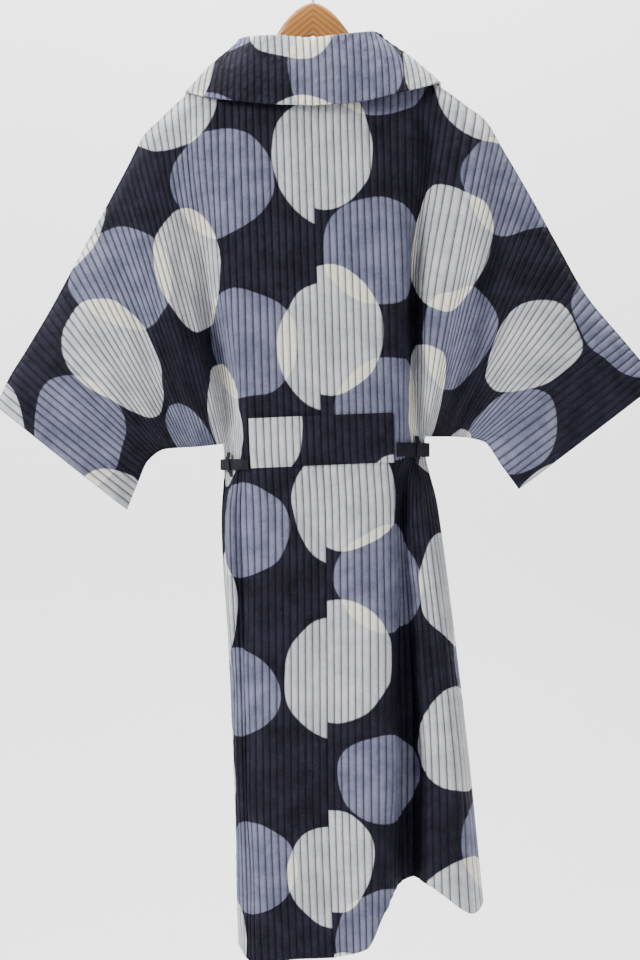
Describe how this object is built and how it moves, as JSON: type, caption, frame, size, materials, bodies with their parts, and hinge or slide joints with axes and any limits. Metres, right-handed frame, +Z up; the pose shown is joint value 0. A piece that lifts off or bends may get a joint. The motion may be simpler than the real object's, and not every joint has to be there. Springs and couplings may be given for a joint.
{
  "type": "quilted coat on a hanger",
  "caption": "Long channel-quilted coat with cut-on sleeves, deep fold-over collar, back waist band and tied belt, hanging on a wooden hanger with a wire hook.",
  "frame": {"origin": "where the hanger's hook bears on its rail, on the inside of the top of the wire", "axes": "+Z up, -Y out of the coat's back and +Y out of its front, +X towards the coat's right sleeve as seen from behind"},
  "size_m": [0.895, 0.1897, 1.3578],
  "materials": {
    "quilted_cloth": "matt printed quilted cotton with a slight sheen",
    "belt_cloth": "matt plain black cotton",
    "hanger_wood": "satin varnish",
    "hook_steel": "bright plated wire"
  },
  "bodies": {
    "root": {"back_left_with_sleeve": "quilted_cloth", "back_right_with_sleeve": "quilted_cloth", "front_left_with_sleeve": "quilted_cloth", "front_right_with_sleeve": "quilted_cloth", "collar": "quilted_cloth", "back_waist_band": "quilted_cloth", "belt_left": "belt_cloth", "belt_right": "belt_cloth", "belt_loop_left": "belt_cloth", "belt_loop_right": "belt_cloth", "belt_end_left": "belt_cloth", "belt_end_right": "belt_cloth", "belt_knot": "belt_cloth", "hanger_left": "hanger_wood", "hanger_right": "hanger_wood", "hanger_hook": "hook_steel"}
  },
  "joints": []
}
